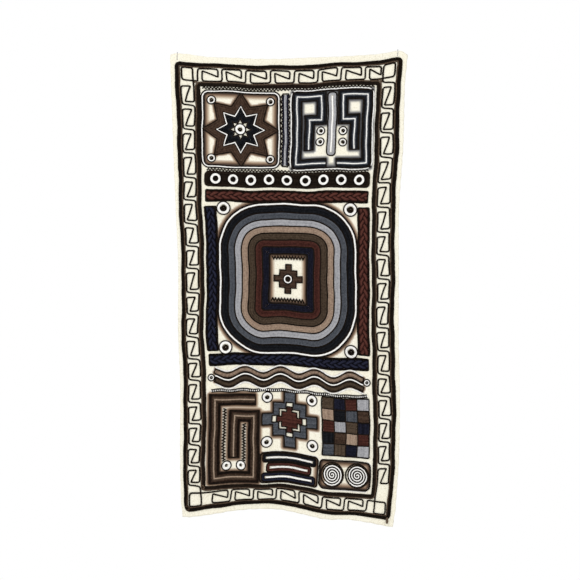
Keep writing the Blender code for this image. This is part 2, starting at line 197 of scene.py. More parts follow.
def fold_depth(across, down):
    """How far forward of the wall the back of the cloth hangs, in soft folds, ripples and a puckered edge."""
    fall = np.clip(down / HEIGHT, 0, 1)
    depth = np.zeros(len(across))
    for middle, half_width, lean, at_top, at_hem in FOLDS:
        off = np.clip(np.abs(across - middle - lean * fall) / half_width, 0, 1)
        depth += (at_top + (at_hem - at_top) * fall) * (0.5 + 0.5 * np.cos(math.pi * off))
    for wave_across, wave_down, phase, rise in RIPPLES:
        depth += rise * (0.5 + 0.5 * np.sin(2 * math.pi * (across / wave_across + down / wave_down) + phase))
    edge = np.minimum(HALF_WIDTH - np.abs(across), np.minimum(down, HEIGHT - down))
    near = np.clip(1 - edge / EDGE_PUCKER["reach"], 0, 1) ** 2
    pucker = np.sin(2 * math.pi * (across + 1.3 * down) / EDGE_PUCKER["wave"])
    return depth + near * EDGE_PUCKER["depth"] * (0.5 + 0.5 * pucker)


def hung(points):
    """Flat points, as across, down and height from the cloth's back, where they hang, in metres."""
    across, down, height = points.T
    x = along_lines(UPRIGHTS, table_at(SIDES, down), across)
    z = along_lines(LEVELS, table_at(ENDS, across), down)
    return np.stack((x, -(fold_depth(across, down) + height), -z), axis=1) * MM


def hang(mesh, points):
    """Set a mesh's points to where flat points hang."""
    mesh.vertices.foreach_set("co", hung(points).astype(np.float32).ravel())
    mesh.shade_smooth()
    mesh.update()


def points_of(mesh):
    """A mesh's points as rows of three."""
    flat = np.empty(3 * len(mesh.vertices), np.float32)
    mesh.vertices.foreach_get("co", flat)
    return flat.reshape(-1, 3).astype(float)


CLOTH_CELLS = (146, 272)
HEM = {"width": 9.0, "rise": 0.55, "wobble": 0.5, "wave": 31.0}

weave = bmesh.new()
bmesh.ops.create_grid(weave, x_segments=CLOTH_CELLS[0], y_segments=CLOTH_CELLS[1], size=1.0)
bmesh.ops.scale(weave, verts=weave.verts[:], vec=(HALF_WIDTH, HEIGHT / 2, 1))
bmesh.ops.translate(weave, verts=weave.verts[:], vec=(0, HEIGHT / 2, 0))
front = bmesh.ops.extrude_face_region(weave, geom=weave.faces[:])["geom"]
front = [element for element in front if isinstance(element, bmesh.types.BMVert)]
bmesh.ops.translate(weave, verts=front, vec=(0, 0, CLOTH))
bmesh.ops.recalc_face_normals(weave, faces=weave.faces[:])
cloth = bpy.data.objects.new("ground_cloth", bpy.data.meshes.new("ground_cloth"))
weave.to_mesh(cloth.data)
weave.free()
bpy.context.scene.collection.objects.link(cloth)
cloth_flat = points_of(cloth.data)

flat_map = cloth.data.uv_layers.new(name="flat")
corner_points = np.empty(len(cloth.data.loops), np.int32)
cloth.data.loops.foreach_get("vertex_index", corner_points)
flat_map.data.foreach_set("uv", (cloth_flat[corner_points, :2] / HEIGHT).astype(np.float32).ravel())

shaped = cloth_flat.copy()
from_edge = np.minimum(HALF_WIDTH - np.abs(shaped[:, 0]), np.minimum(shaped[:, 1], HEIGHT - shaped[:, 1]))
hem_rise = HEM["rise"] * np.clip((HEM["width"] - from_edge) / 2, 0, 1)
shaped[:, 2] += np.where(shaped[:, 2] > 0, hem_rise, 0)
wobble = HEM["wobble"] * np.sin(2 * math.pi * (shaped[:, 0] - shaped[:, 1]) / HEM["wave"])
shaped[:, 0] += wobble * (np.abs(shaped[:, 0]) > HALF_WIDTH - 1)
shaped[:, 1] += wobble * ((shaped[:, 1] < 1) | (shaped[:, 1] > HEIGHT - 1))
hang(cloth.data, shaped)

# Plain-woven wool: matt and a little hairy, cream with flecks of the undyed fleece. The threads are drawn at
# 2.6 mm, coarser than the real 1.2 mm, so that they show. The dye attribute is the brushed brown and grey.
THREAD = 2.6
cloth_wool, tree, surface = new_material(
    "ivory woven wool", roughness=0.92, sheen_weight=0.15, sheen_roughness=0.6
)
place = add_node(tree, "ShaderNodeTexCoord").outputs["Object"]
flecks = add_node(
    tree, "ShaderNodeTexNoise", {"Vector": place, "Scale": 260.0, "Detail": 3.0, "Roughness": 0.7}
)
clouds = add_node(tree, "ShaderNodeTexNoise", {"Vector": place, "Scale": 9.0})
ground = add_node(tree, "ShaderNodeValToRGB", {"Fac": flecks.outputs["Fac"]})
ground.color_ramp.elements[0].position = 0.33
ground.color_ramp.elements[0].color = linear("#D8D2C1")
ground.color_ramp.elements[1].position = 0.52
ground.color_ramp.elements[1].color = linear("#ECE9DC")
aged = add_node(
    tree,
    "ShaderNodeMix",
    {0: clouds.outputs["Fac"], 6: ground.outputs["Color"], 7: linear("#FAF7EC")},
    data_type="RGBA",
    blend_type="MULTIPLY",
)
brushed = add_node(tree, "ShaderNodeAttribute", attribute_name="dye")
bare = add_node(tree, "ShaderNodeMath", {0: 1.0, 1: brushed.outputs["Alpha"]}, operation="SUBTRACT")
thinned = add_node(tree, "ShaderNodeMath", {0: bare.outputs[0], 1: 2.2}, operation="POWER")
soaked = add_node(tree, "ShaderNodeMath", {0: 1.0, 1: thinned.outputs[0]}, operation="SUBTRACT")
tinted = add_node(
    tree,
    "ShaderNodeMix",
    {0: soaked.outputs[0], 6: aged.outputs[2], 7: brushed.outputs["Color"]},
    data_type="RGBA",
)
tree.links.new(tinted.outputs[2], surface.inputs["Base Color"])
flat_place = add_node(tree, "ShaderNodeUVMap", uv_map="flat").outputs["UV"]
threads = add_node(
    tree, "ShaderNodeVectorMath", {0: flat_place, 1: [HEIGHT / THREAD * math.pi] * 3}, operation="MULTIPLY"
)
split = add_node(tree, "ShaderNodeSeparateXYZ", {0: threads.outputs[0]})
warp, weft = (
    add_node(tree, "ShaderNodeMath", {0: split.outputs[way]}, operation="SINE").outputs[0] for way in "XY"
)
crossing = add_node(tree, "ShaderNodeMath", {0: warp, 1: weft}, operation="MULTIPLY")
hairy = add_node(tree, "ShaderNodeMath", {0: crossing.outputs[0], 1: flecks.outputs["Fac"]}, operation="ADD")
relief = add_node(tree, "ShaderNodeBump", {"Height": hairy.outputs[0], "Strength": 0.5, "Distance": 0.0006})
tree.links.new(relief.outputs["Normal"], surface.inputs["Normal"])
cloth.data.materials.append(cloth_wool)
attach(cloth, "root")
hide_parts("cloth")

cloth_dye = np.ones((len(cloth_flat), 4))
cloth_dye[:, 3] = 0.0
dye = cloth.data.attributes.new("dye", "FLOAT_COLOR", "POINT")
dye.data.foreach_set("color", cloth_dye.astype(np.float32).ravel())

# The brushed shading: dye brushed on the cloth at the lines of yarn, near black at a line and paler as it
# fades out. Each dye has a dark and a pale shade.
DYE_STRENGTH = 0.98
DYE_SPREAD = 1.25
BROWN_DYE = ("#1C0F07", "#8F6642")
GREY_DYE = ("#17181C", "#74747A")


def shade_cloth(outline, reach, tints=BROWN_DYE, outward=False, under=4.0):
    """Brush dye on the cloth on one side of a closed outline, dark at the line and fading over its reach.

    On the line's other side the dye runs on, undiminished, as far as the yarn there hides it.
    """
    corners = np.array(outline)
    margin = reach * DYE_SPREAD if outward else under
    low, high = corners.min(0) - margin, corners.max(0) + margin
    near = np.all((cloth_flat[:, :2] > low) & (cloth_flat[:, :2] < high), axis=1)
    near &= cloth_flat[:, 2] > 0
    spots = cloth_flat[near, :2]
    gap = np.full(len(spots), np.inf)
    inside = np.zeros(len(spots), bool)
    for start, end in zip(corners, np.roll(corners, -1, axis=0)):
        leg = end - start
        share = np.clip((spots - start) @ leg / (leg @ leg), 0, 1)[:, None]
        gap = np.minimum(gap, np.linalg.norm(spots - start - share * leg, axis=1))
        level = (start[1] > spots[:, 1]) != (end[1] > spots[:, 1])
        rise = leg[1] if leg[1] else 1.0
        inside ^= level & (spots[:, 0] < start[0] + (spots[:, 1] - start[1]) / rise * leg[0])
    faded = np.clip(DYE_SPREAD - gap / reach, 0, 1)
    amount = DYE_STRENGTH * np.where(inside != outward, faded, gap < under)
    darker = amount > cloth_dye[near, 3]
    chosen = np.flatnonzero(near)[darker]
    dark, pale = (np.array(linear(tint)[:3]) for tint in tints)
    share = amount[darker, None] ** 2
    cloth_dye[chosen, :3] = share * dark + (1 - share) * pale
    cloth_dye[chosen, 3] = amount[darker]
    dye.data.foreach_set("color", cloth_dye.astype(np.float32).ravel())


# The yarn: thick two-ply wool, laid on the cloth in rows and sewn down with fine thread, so it stands as a
# round cord pressed a little flat. A line of yarn is an edge path, swept to a tube and then hung.
YARN = 3.3
PRESS = 0.72
WANDER = 1.0
draws = random.Random(7)

sweep = bpy.data.node_groups.new("sweep yarn", "GeometryNodeTree")
for way in ("INPUT", "OUTPUT"):
    sweep.interface.new_socket("Geometry", in_out=way, socket_type="NodeSocketGeometry")
laid = add_node(sweep, "NodeGroupInput")
thick = add_node(sweep, "GeometryNodeInputNamedAttribute", {"Name": "thick"}, data_type="FLOAT")
section = add_node(sweep, "GeometryNodeCurvePrimitiveCircle", {"Resolution": 6, "Radius": 0.58})
turn = add_node(sweep, "GeometryNodeSplineParameter")
marked = add_node(
    sweep,
    "GeometryNodeStoreNamedAttribute",
    {"Geometry": section.outputs[0], "Name": "round", "Value": turn.outputs["Factor"]},
    data_type="FLOAT",
    domain="POINT",
)
line = add_node(sweep, "GeometryNodeMeshToCurve", {"Mesh": laid.outputs[0]})
tube = add_node(
    sweep,
    "GeometryNodeCurveToMesh",
    {
        "Curve": line.outputs[0],
        "Profile Curve": marked.outputs[0],
        "Scale": thick.outputs[0],
        "Fill Caps": True,
    },
)
add_node(sweep, "NodeGroupOutput", {0: tube.outputs[0]})

# Two-ply wool yarn: matt, with loose fibres that soften its shade. The plies cross every 4 mm, with painted
# light on them: each ply's crest is drawn a little lighter and its groove a little darker. Each row has
# lighter hairs and is a little lighter or darker than the next.
PLY = 4.0
wools = {}


def spin_wool(name, slot, shade, light):
    """Make a wool yarn in one colour with lighter fibres and painted light on its ply crests."""
    material, tree, surface = new_material(f"{name} wool yarn", roughness=0.95, specular_ior_level=0.05)
    along = add_node(tree, "ShaderNodeAttribute", attribute_name="along").outputs["Fac"]
    about = add_node(tree, "ShaderNodeAttribute", attribute_name="round").outputs["Fac"]
    tone_and_painted_shade = add_node(tree, "ShaderNodeAttribute", attribute_name="tone_and_painted_shade").outputs["Fac"]
    place = add_node(tree, "ShaderNodeTexCoord").outputs["Object"]
    hairs = add_node(
        tree, "ShaderNodeTexNoise", {"Vector": place, "Scale": 210.0, "Detail": 4.0, "Roughness": 0.8}
    )
    lead = add_node(tree, "ShaderNodeMath", {0: about, 1: 2 * math.pi}, operation="MULTIPLY")
    twist = add_node(
        tree, "ShaderNodeMath", {0: along, 1: 2 * math.pi / PLY, 2: lead.outputs[0]}, operation="MULTIPLY_ADD"
    )
    ply = add_node(tree, "ShaderNodeMath", {0: twist.outputs[0]}, operation="SINE")
    fibres = hairs.outputs["Fac"]
    # The colour mixes the fibres' random lightness with painted light from the twist: lighter on each ply's
    # crest, darker in its groove.
    fibres_and_ply_light = add_node(
        tree, "ShaderNodeMath", {0: ply.outputs[0], 1: 0.08, 2: fibres}, operation="MULTIPLY_ADD"
    )
    faded = add_node(
        tree, "ShaderNodeMath", {0: tone_and_painted_shade, 1: 0.2, 2: fibres_and_ply_light.outputs[0]}, operation="MULTIPLY_ADD"
    )
    # The darkest stop, a quarter of the shade, is reached only where a path asks for a darker tone: painted
    # shade deep in the plaits and at their strands' edges, and the darker edge rows of some strips.
    colour = add_node(tree, "ShaderNodeValToRGB", {"Fac": faded.outputs[0]})
    colour.color_ramp.elements[0].position = 0.22
    colour.color_ramp.elements[0].color = [0.25 * c for c in linear(shade)[:3]] + [1.0]
    colour.color_ramp.elements[1].position = 0.85
    colour.color_ramp.elements[1].color = linear(light)
    colour.color_ramp.elements.new(0.48).color = linear(shade)
    tree.links.new(colour.outputs["Color"], surface.inputs["Base Color"])
    height = add_node(
        tree, "ShaderNodeMath", {0: ply.outputs[0], 1: 0.5, 2: fibres}, operation="MULTIPLY_ADD"
    )
    relief = add_node(
        tree, "ShaderNodeBump", {"Height": height.outputs[0], "Strength": 0.6, "Distance": 0.0007}
    )
    tree.links.new(relief.outputs["Normal"], surface.inputs["Normal"])
    wools[name] = (material, slot)


WOOLS = (
    # name, slot, shade, light
    ("black", "band_yarn", "#0D0906", "#281F18"),
    ("umber", "band_yarn", "#32261D", "#665546"),
    ("charcoal", "charcoal_yarn", "#0B0C0F", "#222429"),
    ("slate", "slate_yarn", "#3B3F45", "#5D6067"),
    ("light grey", "light_grey_yarn", "#8E8E92", "#B3B3B6"),
    ("tan", "tan_yarn", "#857060", "#AF9A87"),
    ("olive", "olive_yarn", "#3A2F25", "#5B4D40"),
    ("maroon", "maroon_yarn", "#341B17", "#56322B"),
    ("navy", "navy_yarn", "#0D0D16", "#242636"),
    ("brown", "brown_yarn", "#2D2019", "#544236"),
    ("white", "light_grey_yarn", "#E8E6E2", "#FAF9F6"),
)
for wool_facts in WOOLS:
    spin_wool(*wool_facts)


def spaced(path, closed, step):
    """Points every step or so along a path, with its corners kept."""
    ends = [*path, path[0]] if closed else path
    spots = []
    for start, end in zip(ends, ends[1:]):
        count = max(1, round(math.dist(start, end) / step))
        spots += [tuple(a + (b - a) * k / count for a, b in zip(start, end)) for k in range(count)]
    return spots if closed else [*spots, path[-1]]


def wandered(u, v):
    """A place moved as a hand-laid line wanders, the same for all lines near it."""
    return (
        u + WANDER * (math.sin(v / 27 + u / 61) + 0.5 * math.sin(v / 11 - u / 19)),
        v + WANDER * (math.sin(u / 25 - v / 53) + 0.5 * math.sin(u / 13 + v / 23)),
    )


def widened(spots, closed):
    """How much thicker the yarn is swept at each spot, to keep its width round a sharp corner."""
    shares = []
    for i, spot in enumerate(spots):
        before = spots[i - 1] if i or closed else spot
        after = spots[(i + 1) % len(spots)] if closed or i < len(spots) - 1 else spot
        into = math.atan2(spot[1] - before[1], spot[0] - before[0])
        out = math.atan2(after[1] - spot[1], after[0] - spot[0])
        ends = before is spot or after is spot
        half_turn = 0.0 if ends else 0.5 * math.remainder(out - into, 2 * math.pi)
        shares.append(min(1 / max(math.cos(half_turn), 0.1), 1.45))
    return shares


def lay_yarn(name, paths, wool, stands_for=(), width=YARN, lift=0.0, step=4.5, stray=0.18):
    """Sweep lines of yarn, each a path and whether it is closed, press them flat and hang them.

    A path's places are across and down, and may add how far they rise and how much lighter the yarn is
    drawn there, for its own tone or for painted light and shade.
    """
    spots, edges, run, thick_at, tone_and_painted_shade = [], [], [], [], []
    for path, closed in paths:
        first = len(spots)
        length = draws.uniform(0, 40)
        shade = draws.random()
        last = path[0]
        laid_out = spaced(path, closed, step)
        for k, (spot, share) in enumerate(zip(laid_out, widened(laid_out, closed))):
            length += math.dist(spot[:2], last[:2])
            last = spot
            if k:
                edges.append((first + k - 1, first + k))
            rise = spot[2] / PRESS if len(spot) > 2 else 0.0
            u, v = wandered(*spot[:2])
            spots.append((u + draws.gauss(0, stray), v + draws.gauss(0, stray), rise))
            run.append(length)
            thick_at.append(width * share * draws.uniform(0.95, 1.05))
            tone_and_painted_shade.append(shade + (spot[3] if len(spot) > 3 else 0.0))
        if closed:
            edges.append((len(spots) - 1, first))
    mesh = bpy.data.meshes.new(name)
    mesh.from_pydata(spots, edges, [])
    for key, values in (("along", run), ("thick", thick_at), ("tone_and_painted_shade", tone_and_painted_shade)):
        mesh.attributes.new(key, "FLOAT", "POINT").data.foreach_set("value", values)
    lines = bpy.data.objects.new(name, mesh)
    bpy.context.scene.collection.objects.link(lines)
    lines.modifiers.new("sweep", "NODES").node_group = sweep
    ready = bpy.context.evaluated_depsgraph_get()
    swept = bpy.data.meshes.new_from_object(
        lines.evaluated_get(ready), preserve_all_data_layers=True, depsgraph=ready
    )
    bpy.data.objects.remove(lines, do_unlink=True)
    points = points_of(swept)
    points[:, 2] = points[:, 2] * PRESS + CLOTH + lift + width * PRESS * 0.46
    hang(swept, points)
    material, slot = wools[wool]
    swept.materials.clear()
    swept.materials.append(material)
    piece = bpy.data.objects.new(f"{name}_yarn", swept)
    bpy.context.scene.collection.objects.link(piece)
    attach(piece, "root")
    if stands_for:
        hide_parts(*stands_for)
    return piece


# The dark frames: two frames of black-brown yarn, four rows side by side, laid round the cloth with the
# field inside the inner one. The row next to the fret is lighter, and the yarns begin in small curls.
BAND_CORNER = 8.0
FRAMES = (
    # name, across, top, bottom, pitch of the rows, their wools from the inside out
    ("band_outer", BAND_ACROSS, BAND_TOP, BAND_BOTTOM, 3.1, ("umber", "black", "black", "black")),
    ("band_inner", INNER_ACROSS, INNER_TOP, INNER_BOTTOM, 3.1, ("black", "black", "black", "umber")),
)


def rounded_box(u, v, half_width, half_height, radius, steps=6):
    """A closed box with round corners."""
    points = []
    for quarter, (side, end) in enumerate(((1, 1), (-1, 1), (-1, -1), (1, -1))):
        centre_u = u + side * (half_width - radius)
        centre_v = v + end * (half_height - radius)
        for k in range(steps + 1):
            turn = 0.5 * math.pi * (quarter + k / steps)
            points.append((centre_u + radius * math.cos(turn), centre_v + radius * math.sin(turn)))
    return points


for frame_name, across, top, bottom, pitch, row_wools in FRAMES:
    strips = [f"{frame_name}_{side}" for side in ("top", "bottom", "left", "right")]
    for wool in ("black", "umber"):
        rows = []
        for k, row_wool in enumerate(row_wools):
            if row_wool == wool:
                off = (k - 1.5) * pitch
                halves = (across + off, (bottom - top) / 2 + off)
                rows.append((rounded_box(0.0, (top + bottom) / 2, *halves, BAND_CORNER + off), True))
        lay_yarn(f"{frame_name}_{wool}", rows, wool, strips if wool == "black" else (), width=1.08 * pitch)

CURLS = (
    # the loop of the outer frame, then where the inner frame's yarns begin
    [(-284.0, 1206.0), (-277.0, 1203.0), (-273.0, 1208.0), (-277.0, 1214.0), (-284.0, 1213.0)],
    [(-242.0, 1157.0), (-236.0, 1154.0), (-232.0, 1159.0), (-236.0, 1165.0), (-241.0, 1162.0)],
    [(-244.0, 73.0), (-239.0, 70.0), (-235.0, 74.0), (-238.0, 79.0)],
    [(233.0, 70.0), (239.0, 69.0), (242.0, 75.0), (237.0, 79.0)],
)
TAIL = [(279.0, 1212.0, 0.0, 0.8), (280.5, 1219.0, 0.0, 1.2), (281.0, 1226.5, 0.0, 1.2)]
lay_yarn("frame_curls", [(path, False) for path in CURLS], "umber", lift=2.2, width=2.8, step=2.5)
lay_yarn("frame_tail", [(TAIL, False)], "olive", lift=1.4, width=6.0, step=2.5)

# The hanging threads: a short light thread through each top corner, where the cloth is held to the wall.
threads = [([(u, -4.0), (u + bend, 6.0), (u, 17.0)], False) for u, bend in ((-283.0, -0.5), (277.0, 0.5))]
lay_yarn("hanging_threads", threads, "light grey", width=1.3, stray=0.05)


# The fret border: one line of the same yarn, turned into a running key pattern between the two frames. It
# goes round all four sides, and crosses itself at each corner to leave a box.
FRET_YARN = 3.7
TRACK_OUT = 274.8
TRACK_IN = 244.5
TRACK_TOP = 34.8
TRACK_TOP_IN = 67.8
TRACK_BOTTOM_IN = 1170.5
TRACK_BOTTOM = 1203.4
WIDE_TURN = 6.5
TIGHT_TURN = 2.5
LOBE_BELOW_LINE = 12.0
LOBE_ABOVE_LINE = 9.0
LINE_SLOPE = 1.5
LEFT_LINES = {"first": 71.0, "pitch": 65.1, "shorten": 0.264, "count": 19}
RIGHT_LINES = {"first": 79.0, "pitch": 66.4, "shorten": 0.26, "count": 18}
TOP_KEYS = {"first": -235.0, "pitch": 62.1, "keys": 7}
BOTTOM_KEYS = {"first": -157.0, "pitch": 62.7, "keys": 6}
END_KEY = (
    # along in pitches, down the track from its top, radius of the turn
    (0.0, 1.0, WIDE_TURN),
    (0.01, 0.0, WIDE_TURN),
    (0.83, 0.02, WIDE_TURN),
    (0.83, 0.66, TIGHT_TURN),
    (0.2, 0.2, TIGHT_TURN),
    (0.2, 1.0, WIDE_TURN),
)


def turned(path):
    """A path of points and turning radii, with each corner turned in an arc."""
    points = [path[0][:2]]
    for before, corner, after in zip(path, path[1:], path[2:]):
        u, v, radius = corner
        reaches = []
        for other in (before, after):
            apart = max(math.dist((u, v), other[:2]), 0.01)
            reaches.append(min(radius / apart, 0.48))
        for t in (0.0, 0.25, 0.5, 0.75, 1.0):
            into = reaches[0] * (1 - t) ** 2
            out = reaches[1] * t ** 2
            points.append((
                u + into * (before[0] - u) + out * (after[0] - u),
                v + into * (before[1] - v) + out * (after[1] - v),
            ))
    return [*points, path[-1][:2]]


def line_places(first, pitch, shorten, count):
    """Where the lines across a side track lie, a little closer together towards the hem."""
    return [first + pitch * k - shorten * k * k + draws.gauss(0, 1.0) for k in range(count)]


def side_fret(left, right, places, line_first):
    """Keys down a side track: between two places a lobe, and a line across the track before or after it."""
    path = []
    for above, below in zip(places, places[1:]):
        line_at = above if line_first else below
        line = [(0.0, line_at - LINE_SLOPE, WIDE_TURN), (1.0, line_at + LINE_SLOPE, WIDE_TURN)]
        lobe = [
            (1.0, below - LOBE_ABOVE_LINE, WIDE_TURN),
            (0.25, below - LOBE_ABOVE_LINE, TIGHT_TURN),
            (0.7, above + LOBE_BELOW_LINE, TIGHT_TURN),
            (0.0, above + LOBE_BELOW_LINE, WIDE_TURN),
        ]
        path += line + lobe if line_first else lobe + line
    return [(left + share * (right - left) + draws.gauss(0, 0.4), v, radius) for share, v, radius in path]


def end_fret(top, bottom, first, pitch, keys):
    """Keys along the top or bottom track."""
    places = []
    for k in range(keys):
        for along, down, radius in END_KEY:
            u = first + (k + along) * pitch + draws.gauss(0, 0.6)
            places.append((u, top + down * (bottom - top) + draws.gauss(0, 0.4), radius))
    return places


def wide_turns(*spots):
    """Spots with a wide turn at each."""
    return [(*spot, WIDE_TURN) for spot in spots]


fret_top = (
    end_fret(TRACK_TOP, TRACK_TOP_IN, **TOP_KEYS)
    + wide_turns((199.5, 67.5), (200.5, 35.0), (241.0, 36.0))
    + [(240.5, 57.0, TIGHT_TURN), (212.0, 41.0, TIGHT_TURN)]
    + wide_turns((210.5, 67.5), (272.8, 66.0), (273.0, 33.5), (246.5, 34.0))
)
fret_right = (
    side_fret(TRACK_IN, TRACK_OUT, line_places(**RIGHT_LINES), True)
    + wide_turns((240.5, 1205.5), (273.0, 1205.5), (273.0, 1173.0))
)
fret_bottom = (
    wide_turns((-166.0, 1171.0))
    + [(-166.0, 1192.0, TIGHT_TURN), (-208.0, 1178.0, TIGHT_TURN)]
    + wide_turns((-211.0, 1203.0))
    + end_fret(TRACK_BOTTOM_IN, TRACK_BOTTOM, **BOTTOM_KEYS)
    + wide_turns((219.0, 1203.0), (220.0, 1172.0))
)
fret_left = (
    side_fret(-TRACK_OUT, -TRACK_IN, line_places(**LEFT_LINES), False)
    + wide_turns((-240.0, 1205.5), (-273.0, 1205.5), (-273.0, 1174.5))
)
fret_corner = wide_turns((-246.5, 33.5), (-273.0, 33.0), (-273.0, 65.0), (-236.0, 68.0))
fret = [*fret_top, *fret_right, *fret_bottom[::-1], *fret_left[::-1], *fret_corner, fret_top[0]]
lay_yarn("fret_border", [(turned(fret), False)], "black", width=FRET_YARN, step=3.2, stray=0.1)


# The plaits: three-strand plaits, each strand four yarns side by side, sewn down their middles. They divide
# the field and stand about 5 mm high, and a line of black yarn runs along both their sides.
PLAIT_WIDTH = 26.0
PLAIT_SWING = 7.4
PLAIT_RISE = 1.5
PLAIT_LENGTH = 64.0
STRAND_YARNS = (-1.5, -0.5, 0.5, 1.5)
STRAND_PITCH = 2.7
# Painted shade on the plaits: each strand's outer yarns are drawn darker, where it meets the next strand, and
# each strand is drawn darker where it dives under the others and lighter on its crowns.
EDGE_PAINTED_SHADE = -2.6
DEPTH_PAINTED_SHADE = -1.5
PLAITS = (
    # name, wool, start across, start down, length, level
    ("plait_top", "maroon", -216.0, 376.0, 432.0, True),
    ("plait_left", "navy", -207.0, 407.2, 382.5, False),
    ("plait_right", "maroon", 207.0, 407.2, 382.5, False),
    ("plait_bottom", "navy", -216.0, 817.0, 432.0, True),
)


def plait_yarns(length):
    """The yarns of a plait: paths of places along, across and up, with the painted light and shade there."""
    steps = round(length / 4)
    for strand in range(3):
        for yarn in STRAND_YARNS:
            path = []
            for k in range(steps + 1):
                turn = 2 * math.pi * (length * k / steps / PLAIT_LENGTH + strand / 3)
                slope = math.atan(PLAIT_SWING * 2 * math.pi / PLAIT_LENGTH * math.cos(turn))
                side = PLAIT_SWING * math.sin(turn) + yarn * STRAND_PITCH * math.cos(slope)
                along = length * k / steps - yarn * STRAND_PITCH * math.sin(slope)
                rise = 1 + math.sin(2 * turn)
                crown = 0.4 * (1 - (yarn / 1.5) ** 2)
                painted_light_and_shade = 1.5 + (EDGE_PAINTED_SHADE if abs(yarn) > 1 else 0.0) + DEPTH_PAINTED_SHADE * (1 - 0.5 * rise)
                path.append((min(max(along, 0), length), side, PLAIT_RISE * rise + crown, painted_light_and_shade))
            yield path


plait_lines = []
for name, wool, u, v, length, level in PLAITS:
    paths = []
    for path in plait_yarns(length):
        if level:
            placed = [(u + along, v + side, up, tone_and_painted_shade) for along, side, up, tone_and_painted_shade in path]
        else:
            placed = [(u + side, v + along, up, tone_and_painted_shade) for along, side, up, tone_and_painted_shade in path]
        paths.append((placed, False))
    lay_yarn(name, paths, wool, [name], width=3.1, step=9.0, stray=0.1)
    middle = (u + length / 2, v) if level else (u, v + length / 2)
    for out in (0.0, 2.6):
        halves = (length / 2 + out, PLAIT_WIDTH / 2 - 0.6 + out)
        plait_lines.append((rounded_box(*middle, *(halves if level else halves[::-1]), 3.0), True))
lay_yarn("plait_lines", plait_lines, "black", width=3.2)


# The medallion: seven stripes of couched yarn, each five rows wide, nested round a shaded heart. Black yarn
# divides the stripes, and a brown stepped cross fills the heart.
MEDALLION = (0.0, 598.0, 180.0, 196.0)
MEDALLION_CORNER = 118.0
TIGHTEST_CORNER = 8.0
STRIPE = 18.5
STRIPE_ROWS = 5
ROW = 3.1
SHORTEST_ROW = 0.5
STRIPE_LINE = 1.5
STRIPES = ("charcoal", "slate", "light grey", "tan", "olive", "maroon", "navy")
HEART_STEP = 15.5


def medallion_box(inset):
    """The medallion's outline, drawn in by a distance."""
    u, v, half_width, half_height = MEDALLION
    radius = max(MEDALLION_CORNER - inset, TIGHTEST_CORNER)
    return rounded_box(u, v, half_width - inset, half_height - inset, radius, steps=14)


def stepped_cross(u, v, step, arms=3):
    """A closed cross whose four corners go in by steps."""
    quarter = []
    for k in range(arms - 1):
        quarter.append(((arms - k - 0.5) * step, (k + 0.5) * step))
        quarter.append(((arms - k - 1.5) * step, (k + 0.5) * step))
    quarter.append((0.5 * step, (arms - 0.5) * step))
    outline = []
    for _ in range(4):
        outline += [(u + a, v + b) for a, b in quarter]
        quarter = [(-b, a) for a, b in quarter]
    return outline


def rows_across(outlines, slant=0.0):
    """Straight rows of yarn that fill closed outlines, in one direction."""
    cos, sin = math.cos(slant), math.sin(slant)
    loops = [[(u * cos + v * sin, v * cos - u * sin) for u, v in outline] for outline in outlines]
    low = min(v for loop in loops for _, v in loop)
    high = max(v for loop in loops for _, v in loop)
    count = max(1, round((high - low) / ROW))
    paths = []
    for k in range(count):
        level = low + (k + 0.5) * (high - low) / count
        crossings = []
        for loop in loops:
            for (u, v), (next_u, next_v) in zip(loop, [*loop[1:], loop[0]]):
                if (v > level) != (next_v > level):
                    crossings.append(u + (level - v) / (next_v - v) * (next_u - u))
        crossings.sort()
        for start, end in zip(crossings[::2], crossings[1::2]):
            if end - start > ROW + SHORTEST_ROW:
                ends = (start + ROW / 2, end - ROW / 2)
                paths.append(([(u * cos - level * sin, level * cos + u * sin) for u in ends], False))
    return paths


def toothed(start, end, height, tooth=8.0):
    """A straight run of teeth that stand out from a line, to the left of its way."""
    length = math.dist(start, end)
    steps = 2 * round(length / tooth)
    along_u, along_v = ((b - a) / length for a, b in zip(start, end))
    path = []
    for k in range(steps + 1):
        reach = length * k / steps
        out = height * (k % 2)
        path.append((start[0] + along_u * reach + along_v * out, start[1] + along_v * reach - along_u * out))
    return path


for k, wool in enumerate(STRIPES):
    rows = [(medallion_box(k * STRIPE + (row + 0.5) * ROW), True) for row in range(STRIPE_ROWS)]
    name = "medallion_" + wool.replace(" ", "_")
    lay_yarn(name, rows, wool, [name])
dividers = [(medallion_box(k * STRIPE - STRIPE_LINE), True) for k in range(len(STRIPES) + 1)]
dividers.append((medallion_box(-9.6), True))
lay_yarn("medallion_lines", dividers, "black", width=3.7, lift=0.5)
lay_yarn("medallion_white", [(medallion_box(-5.5), True)], "white", width=4.6)
shade_cloth(medallion_box(len(STRIPES) * STRIPE - STRIPE_LINE), 13.0)
shade_cloth(medallion_box((len(STRIPES) - 1) * STRIPE), 20.0)
shade_cloth(medallion_box(-10.0), 10.0, outward=True)
heart_cross = stepped_cross(*MEDALLION[:2], HEART_STEP)
lay_yarn("medallion_heart", rows_across([heart_cross]), "brown", ["medallion_heart"])
heart_teeth = [toothed((-44.0, 660.0), (44.0, 660.0), 9.0), toothed((44.0, 536.0), (-44.0, 536.0), 9.0)]
heart_lines = [(heart_cross, True)] + [(path, False) for path in heart_teeth]
lay_yarn("medallion_heart_line", heart_lines, "black", lift=0.4)


# Ring eyes: white yarn couched in rings round a coiled black middle, with a black line outside.
EYE_YARN = 3.0


def circle(u, v, radius, steps=18):
    """A closed circle."""
    turns = [2 * math.pi * k / steps for k in range(steps)]
    return [(u + radius * math.cos(turn), v + radius * math.sin(turn)) for turn in turns]


def coil(u, v, inner, outer, pitch, start=0.0):
    """An open spiral from its inner to its outer radius."""
    steps = round((outer - inner) / pitch * 16)
    points = []
    for k in range(steps + 1):
        radius = inner + (outer - inner) * k / steps
        turn = start + 2 * math.pi * k / 16
        points.append((u + radius * math.cos(turn), v + radius * math.sin(turn)))
    return points


